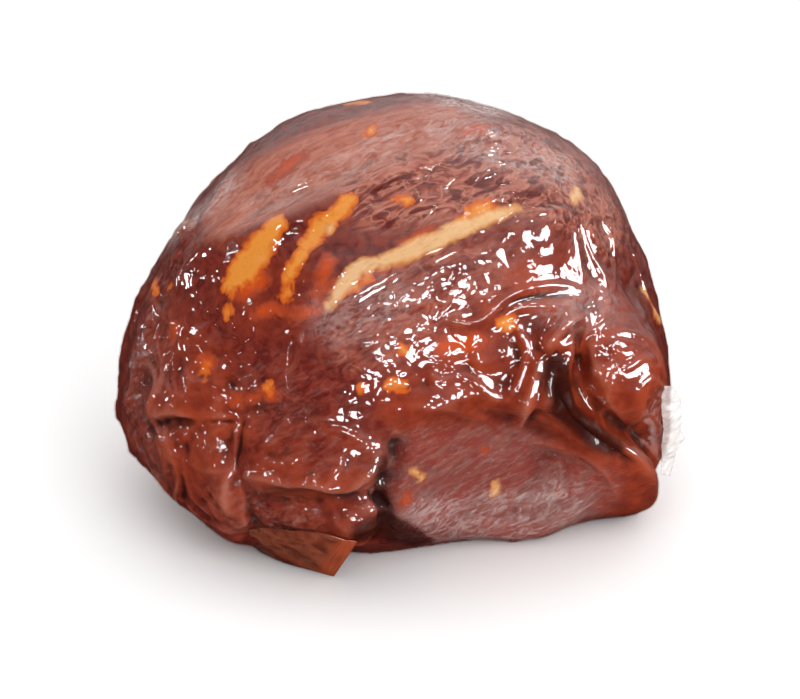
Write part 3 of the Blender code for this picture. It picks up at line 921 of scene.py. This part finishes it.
TAIL_DARK, TAIL_BROWN = colour(92, 34, 20), colour(136, 70, 48)
SEAL_DARK, SEAL_BROWN = colour(140, 56, 32), colour(166, 80, 50)
MILK_SHADE, MILK_WHITE = colour(246, 240, 236), colour(255, 253, 250)
WHITE = (1.0, 1.0, 1.0, 1.0)
FLOOR_WHITE = (0.98, 0.98, 0.98, 1.0)

# Fat on the beef, in the order it is laid: its heart's and rind's colours, mm of rind, mm over which
# its edge fades, how far it covers the meat where fibres show, and how far its outline wavers.
FATS = {
    "ember": (EMBER, GLAZE_RED, 2.6, 1.4, 0.6, 1.0),
    "fat": (FAT_YELLOW, FAT_ORANGE, 2.6, 0.5, 1.0, 1.0),
    "cream": (CREAM, CREAM_EDGE, 1.2, 1.0, 0.7, 0.5),
}


def lean_tone(paint, grain, fibre):
    """Colours of the muscle: dark meat, glaze, the taut pale band and the flat cut face."""
    tone = paint.mix(paint.step(grain, 0.36, 0.66), MAROON, BROWN_RED)
    glaze = paint.times(paint.mask("glaze"), paint.step(paint.noise(13 * MM), 0.30, 0.62, 0.55, 1.0))
    glazed = paint.mix(paint.step(paint.noise(8 * MM, 4.0, 0.55, 0.5), 0.30, 0.68), GLAZE_DEEP, GLAZE_RED)
    tone = paint.mix(glaze, tone, glazed)
    taut = paint.times(paint.mask("taut"), paint.step(fibre, 0.2, 0.55, 0.6, 1.0))
    tone = paint.mix(taut, tone, paint.mix(paint.step(fibre, 0.35, 0.68), TAUT_BROWN, TAUT_PALE))
    clouds = paint.sums("MULTIPLY_ADD", fibre, 0.22, paint.noise(9 * MM, 5.0, 0.6, 1.0, 1.3))
    cut_tone = paint.mix(paint.step(clouds, 0.45, 0.78), CUT_PINK, CUT_GREY)
    return paint.mix(paint.times(paint.mask("cut"), 0.9), tone, cut_tone)


def webbed_tone(paint, tone, fibre):
    """The pale web of the upper part, with its dark knots and threads, and a veil of pale fibres."""
    streaks = paint.step(paint.noise(3.4 * MM, 5.0, 0.55, 1.2, 2.4), 0.38, 0.60, 0.05, 0.75)
    tone = paint.mix(paint.times(paint.mask("cells"), streaks), tone, SALMON)
    knots = paint.noise(*KNOTS)
    knotted = paint.step(knots, 0.53, 0.62, 0.0, 0.85)
    tone = paint.mix(paint.times(paint.mask("cells"), knotted), tone, KNOT_RED)
    threads = paint.times(paint.step(knots, 0.46, 0.49), paint.step(knots, 0.49, 0.52, 1.0, 0.0))
    tone = paint.mix(paint.times(threads, paint.times(paint.mask("cells"), 0.6)), tone, WEB_PALE)
    veil = paint.times(paint.mask("mauve"), paint.step(fibre, 0.44, 0.70, 0.0, 0.75))
    return paint.mix(veil, tone, MAUVE)


def painted_relief_shading(paint, tone):
    """Painted highlight on what stands up and painted shade in hollows and crevices, near and wide."""
    tone = paint.mix(paint.step(paint.mask("crest"), 0.1, 1.6, 0.0, 0.35), tone, CREST_HIGHLIGHT)
    tone = paint.mix(paint.step(paint.mask("swell"), 0.1, 1.4, 0.0, 0.3), tone, CREST_HIGHLIGHT)
    tone = paint.mix(paint.step(paint.mask("swell"), -0.05, -1.0, 0.0, 0.75), tone, HOLLOW_SHADE)
    hollow = paint.step(paint.mask("crest"), -0.08, -1.0, 0.0, 0.8)
    hollow = paint.sums("MAXIMUM", hollow, paint.times(paint.mask("dark"), 0.9))
    return paint.mix(hollow, tone, HOLLOW_SHADE)


def fatty_tone(paint, tone, fibre):
    """The fat laid over the meat, and how bare of fat each place is."""
    wobble = paint.step(paint.noise(4.5 * MM, 4.0, 0.55, 0.6), 0.2, 0.8, -1.5, 1.5)
    specks = paint.step(paint.cells(1.3 * MM), 0.10, 0.22, 0.35, 0.0)
    bare = 1.0
    for name, (heart, edge, rind, edge_width, whole, waver) in FATS.items():
        outside = paint.sums("MULTIPLY_ADD", wobble, waver, paint.mask(name))
        inner = paint.mix(paint.step(outside, -rind, 0.0), heart, edge)
        inner = paint.mix(paint.times(specks, 0.6), inner, BROWN_RED)
        inside = paint.step(outside, edge_width, -0.4, 0.0, 0.94)
        share = paint.times(inside, paint.step(fibre, 0.3, 0.5, whole, 1.0))
        tone = paint.mix(share, tone, inner)
        bare = paint.times(bare, paint.sums("SUBTRACT", 1.0, share))
    return tone, bare


def beef_material():
    """Glazed beef: dark muscle, glaze, fat with crisp edges, haze where fibres show, and painted highlight
    and shade from the relief.
    """
    paint = Paint("glazed_beef")
    grain = paint.noise(3.6 * MM, 5.0, 0.56, 0.8)
    fibre = paint.noise(2.0 * MM, 6.0, 0.66, 0.8, 4.0)
    tone = webbed_tone(paint, lean_tone(paint, grain, fibre), fibre)
    # Painted highlight on crests and painted shade in hollows and crevices, laid under the fat.
    tone, bare = fatty_tone(paint, painted_relief_shading(paint, tone), fibre)
    tone = paint.mix(1.0, tone, BODY_SHADE, "MULTIPLY")
    lumps = paint.step(paint.cells(2.6 * MM, paint.bent_place(5 * MM, 4 * MM)), 0.15, 0.75, 1.0, 0.0)
    relief = paint.plus(paint.times(grain, 0.6), paint.times(fibre, 0.7))
    relief = paint.plus(relief, paint.times(paint.times(lumps, paint.mask("cells")), 0.5))
    normal = paint.bump(paint.times(relief, paint.step(bare, 0.0, 1.0, 0.25, 1.0)), 0.5 * MM)
    shader = paint.node("ShaderNodeBsdfPrincipled", {
        "Base Color": tone, "Roughness": paint.step(grain, 0.3, 0.7, 0.26, 0.42), "Normal": normal,
        "Specular IOR Level": 0.06})
    return paint.finish(shader)


def film_material():
    """Clear bag film: sharp gloss, and a milky haze where it is finely crinkled; both are turned down in the
    crevices as painted shade.
    """
    paint = Paint("vacuum_film")
    crinkled = paint.sums("MULTIPLY_ADD", paint.mask("crinkle"), 0.9, 0.1)
    ridged = paint.plus(paint.ridges(5 * MM), paint.times(paint.ridges(3 * MM), 0.2))
    crinkles = paint.times(ridged, crinkled)
    waves = paint.times(paint.noise(3.6 * MM, 1.0, 0.4, 0.8), 0.6)
    waves = paint.plus(waves, paint.noise(7 * MM, 1.0, 0.5, 0.6))
    knots = paint.times(paint.noise(*KNOTS), paint.times(paint.mask("cells"), 1.4))
    relief = paint.plus(paint.plus(waves, crinkles), knots)
    relief = paint.times(relief, paint.step(paint.mask("tight"), 0.15, 0.8, 1.0, 0.35))
    relief = paint.times(relief, paint.step(paint.mask("dark"), 0.2, 0.8, 1.0, 0.3))
    normal = paint.bump(relief, 0.55 * MM)

    streaks = paint.noise(2.2 * MM, 6.0, 0.68, 1.5, 2.6)
    milky = paint.times(paint.mask("milky"), paint.step(streaks, 0.38, 0.64, 0.08, 0.7))
    haze = paint.times(paint.mask("mauve"), paint.step(streaks, 0.48, 0.74, 0.0, 0.22))
    haze = paint.plus(paint.plus(haze, milky), paint.times(crinkles, 0.03))
    haze = paint.sums("ADD", haze, paint.step(paint.mask("crest"), 0.5, 1.8, 0.0, 0.05), clamp=True)
    # Painted shade: little milky haze in the crevices, so that they stay dark.
    haze = paint.times(haze, paint.step(paint.mask("dark"), 0.1, 0.7, 1.0, 0.1))

    clear = paint.node("ShaderNodeBsdfTransparent", {"Color": FILM_TINT})
    milk = paint.node("ShaderNodeBsdfDiffuse", {"Color": FILM_HAZE, "Normal": normal})
    body = paint.blend(haze, clear, milk)
    gloss = paint.node("ShaderNodeBsdfAnisotropic", {"Color": WHITE, "Roughness": 0.045, "Normal": normal})
    edge = paint.node("ShaderNodeFresnel", {"IOR": 1.5, "Normal": normal})
    shine = paint.sums("MINIMUM", edge.outputs[0], MOST_SHINE)
    # Painted shade: the film reflects less in the crevices.
    shine = paint.times(shine, paint.step(paint.mask("dark"), 0.3, 0.9, 1.0, 0.35))
    return paint.finish(paint.blend(shine, body, gloss))


def glazed_tail_material():
    """Loose film with dark glaze between its layers, and its seal, drawn in fine lines, down one side."""
    paint = Paint("glazed_tail")
    along, out = paint.mask("along"), paint.mask("out")
    across = paint.node("ShaderNodeCombineXYZ", {0: paint.times(along, 55.0), 1: paint.times(out, 3.0)})
    inputs = {"Vector": across.outputs[0], "Scale": 1.0, "Detail": 3.0}
    lines = paint.node("ShaderNodeTexNoise", inputs).outputs["Fac"]
    swirl = paint.noise(6 * MM, 2.0, 0.5, 0.6)
    seal = paint.step(along, 0.70, 0.86)
    glaze = paint.mix(paint.step(swirl, 0.3, 0.7), TAIL_DARK, TAIL_BROWN)
    sealed = paint.mix(paint.step(lines, 0.2, 0.8), SEAL_DARK, SEAL_BROWN)
    relief = paint.mix(seal, paint.noise(3.2 * MM, 1.0, 0.5, 0.4), paint.times(lines, 0.25))
    shader = paint.node("ShaderNodeBsdfPrincipled", {
        "Base Color": paint.mix(seal, glaze, sealed), "Roughness": 0.08,
        "Normal": paint.bump(relief, 0.5 * MM)})
    return paint.finish(shader)


def clear_tail_material():
    """Loose clear film, crumpled until it looks milky."""
    paint = Paint("clear_tail")
    crumple = paint.ridges(3.5 * MM)
    clear = paint.node("ShaderNodeBsdfTransparent", {"Color": WHITE})
    milk = paint.node("ShaderNodeBsdfPrincipled", {
        # Whiter on the crumples' ridges and greyer between them, as painted shade.
        "Base Color": paint.mix(paint.step(crumple, 0.2, 0.9), MILK_SHADE, MILK_WHITE),
        "Roughness": 0.25, "Normal": paint.bump(crumple, 0.6 * MM)})
    return paint.finish(paint.blend(paint.step(crumple, 0.1, 0.8, 0.4, 0.85), clear, milk))


def floor_material():
    paint = Paint("pale_floor")
    return paint.finish(paint.node("ShaderNodeBsdfPrincipled", {"Base Color": FLOOR_WHITE, "Roughness": 0.9}))


def build_joint(frame):
    """The beef and its film, as two skins that share one set of folds; gives back the film's tree."""
    beef = make_skin(frame["nodes"][NODE])
    skin = Skin(beef)
    beef_heights, film_heights, masks = work_skin(skin)
    film = bpy.data.objects.new("bag_film", beef.data.copy())
    bpy.context.scene.collection.objects.link(film)
    masks["crest"], masks["swell"] = skin.relief(skin.points + skin.normals * film_heights[:, None])
    layers = ((beef, beef_heights, beef_material()), (film, film_heights, film_material()))
    for obj, heights, material in layers:
        points = skin.points + skin.normals * heights[:, None]
        set_points(obj.data, settle(points, BASE_GAPS[obj.name]))
        add_attributes(obj.data, masks)
        triangles = 2 * len(obj.data.polygons)
        apply_modifier(obj, "DECIMATE", ratio=min(1.0, MOST_TRIANGLES / triangles))
        obj.data.shade_smooth()
        obj.data.materials.append(material)
        obj.visible_shadow = obj.visible_diffuse = obj is beef
        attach(obj, "root")
        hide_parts(NODE)
    return skin_tree(film.data)


def through(run, share):
    """The pixel at a share of the way along a run."""
    place = share * (len(run) - 1)
    first = min(int(place), len(run) - 2)
    return np.array(run[first], float) + (place - first) * (np.array(run[first + 1]) - np.array(run[first]))


def on_plane(place, axis, level):
    """Where the camera's line of sight through a pixel meets a level plane or an upright one."""
    start, way = photo_ray(place)
    return start + way * ((level - start[axis]) / way[axis])


def tail_ends(tree, tail, along):
    """Where the tail leaves the joint and where its free edge is, at a share of the way along both."""
    corner, end = through(tail["root"], along), through(tail["edge"], along)
    root = tree.ray_cast(*photo_ray(corner))[0] or on_plane(corner, 1, tail["depth"])
    if tail["on_floor"]:
        return root, on_plane(end, 2, FLOOR_GAP)
    return root, on_plane(end, 1, root.y + tail["behind"])


def build_tail(name, tree, tail):
    """A loose tail of the bag from the joint to its free edge, crumpled, with its own coordinates."""
    bpy.ops.object.select_all(action="DESELECT")
    bpy.ops.mesh.primitive_grid_add(x_subdivisions=tail["squares"][0], y_subdivisions=tail["squares"][1],
                                    size=2)
    obj = bpy.context.object
    obj.name = name
    mesh = obj.data
    shares = np.array([((v.co.x + 1) / 2, (v.co.y + 1) / 2) for v in mesh.vertices])
    toward_camera = camera_axes()[2]
    size, height, bow = tail["crumple"]
    ends = {}
    for vertex, (along, out) in zip(mesh.vertices, shares):
        along = round(float(along), 5)
        if along not in ends:
            ends[along] = tail_ends(tree, tail, along)
        root, edge = ends[along]
        root = root + toward_camera * tail["off"] * MM
        place = root.lerp(edge, float(out))
        ripple = noise.noise(place / (size * MM))
        lift = bow * math.sin(math.pi * out) + height * (1 - 2 * abs(ripple) if tail["sharp"] else 2 * ripple)
        place += toward_camera * lift * MM
        place.z = max(place.z, FLOOR_GAP)
        vertex.co = place
    add_attributes(mesh, {"along": shares[:, 0], "out": shares[:, 1]})
    apply_modifier(obj, "SOLIDIFY", thickness=tail["thick"] * MM, offset=0)
    only_selected(obj)
    bpy.ops.object.mode_set(mode="EDIT")
    bpy.ops.mesh.select_all(action="SELECT")
    bpy.ops.mesh.normals_make_consistent(inside=False)
    bpy.ops.object.mode_set(mode="OBJECT")
    obj.data.shade_smooth()
    return obj


def build_tails(tree):
    for name, tail, material in (("front_tail", FRONT_TAIL, glazed_tail_material()),
                                 ("right_tail", RIGHT_TAIL, clear_tail_material())):
        obj = build_tail(name, tree, tail)
        obj.data.materials.append(material)
        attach(obj, "root")
        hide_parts(NODE)


def add_floor():
    bpy.ops.object.select_all(action="DESELECT")
    bpy.ops.mesh.primitive_plane_add(size=FLOOR_SIZE)
    floor = bpy.context.object
    floor.name = "floor"
    floor.data.materials.append(floor_material())
    floor.visible_glossy = False


def add_light(name, azimuth, elevation, distance, radiance, size):
    """A soft oval light seen from the joint at an azimuth and elevation, by its radiance and size."""
    light = bpy.data.lights.new(name, "AREA")
    light.shape = "ELLIPSE"
    light.size, light.size_y = size
    light.energy = radiance * math.pi * size[0] * size[1] * math.pi / 4
    lamp = bpy.data.objects.new(name, light)
    bpy.context.scene.collection.objects.link(lamp)
    out = way_out(azimuth, elevation)
    lamp.location = LIGHTS_AIM + out * distance
    lamp.rotation_mode = "QUATERNION"
    lamp.rotation_quaternion = (-out).to_track_quat("-Z", "Y")
    return lamp


def add_lights():
    """Lights that only gleam in the film, and one that only lights the front."""
    for name, gleam in GLEAMS.items():
        add_light(name, *gleam).visible_diffuse = False
    add_light("front_fill", *FRONT_FILL).visible_glossy = False


def add_room():
    """A white room that is brighter one way, and brighter still that way where it gleams."""
    world = bpy.data.worlds.new("room")
    bpy.context.scene.world = world
    world.use_nodes = True
    nodes, links = world.node_tree.nodes, world.node_tree.links
    way = nodes.new("ShaderNodeTexCoord")
    toward = nodes.new("ShaderNodeVectorMath")
    toward.operation = "DOT_PRODUCT"
    toward.inputs[1].default_value = ROOM_BRIGHT_WAY
    links.new(way.outputs["Generated"], toward.inputs[0])
    levels = []
    for low, high, start, end in (ROOM_LIGHT, ROOM_GLEAM):
        level = nodes.new("ShaderNodeMapRange")
        level.inputs["From Min"].default_value = low
        level.inputs["From Max"].default_value = high
        level.inputs["To Min"].default_value = start
        level.inputs["To Max"].default_value = end
        links.new(toward.outputs["Value"], level.inputs["Value"])
        levels.append(level.outputs["Result"])
    kind = nodes.new("ShaderNodeLightPath")
    chosen = nodes.new("ShaderNodeMix")
    links.new(kind.outputs["Is Glossy Ray"], chosen.inputs[0])
    links.new(levels[0], chosen.inputs[2])
    links.new(levels[1], chosen.inputs[3])
    links.new(chosen.outputs[0], nodes["Background"].inputs["Strength"])
    nodes["Background"].inputs["Color"].default_value = WHITE


def main():
    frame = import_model()
    add_camera()
    build_tails(build_joint(frame))
    add_floor()
    add_lights()
    add_room()
    bpy.context.scene.view_settings.view_transform = "Standard"


main()
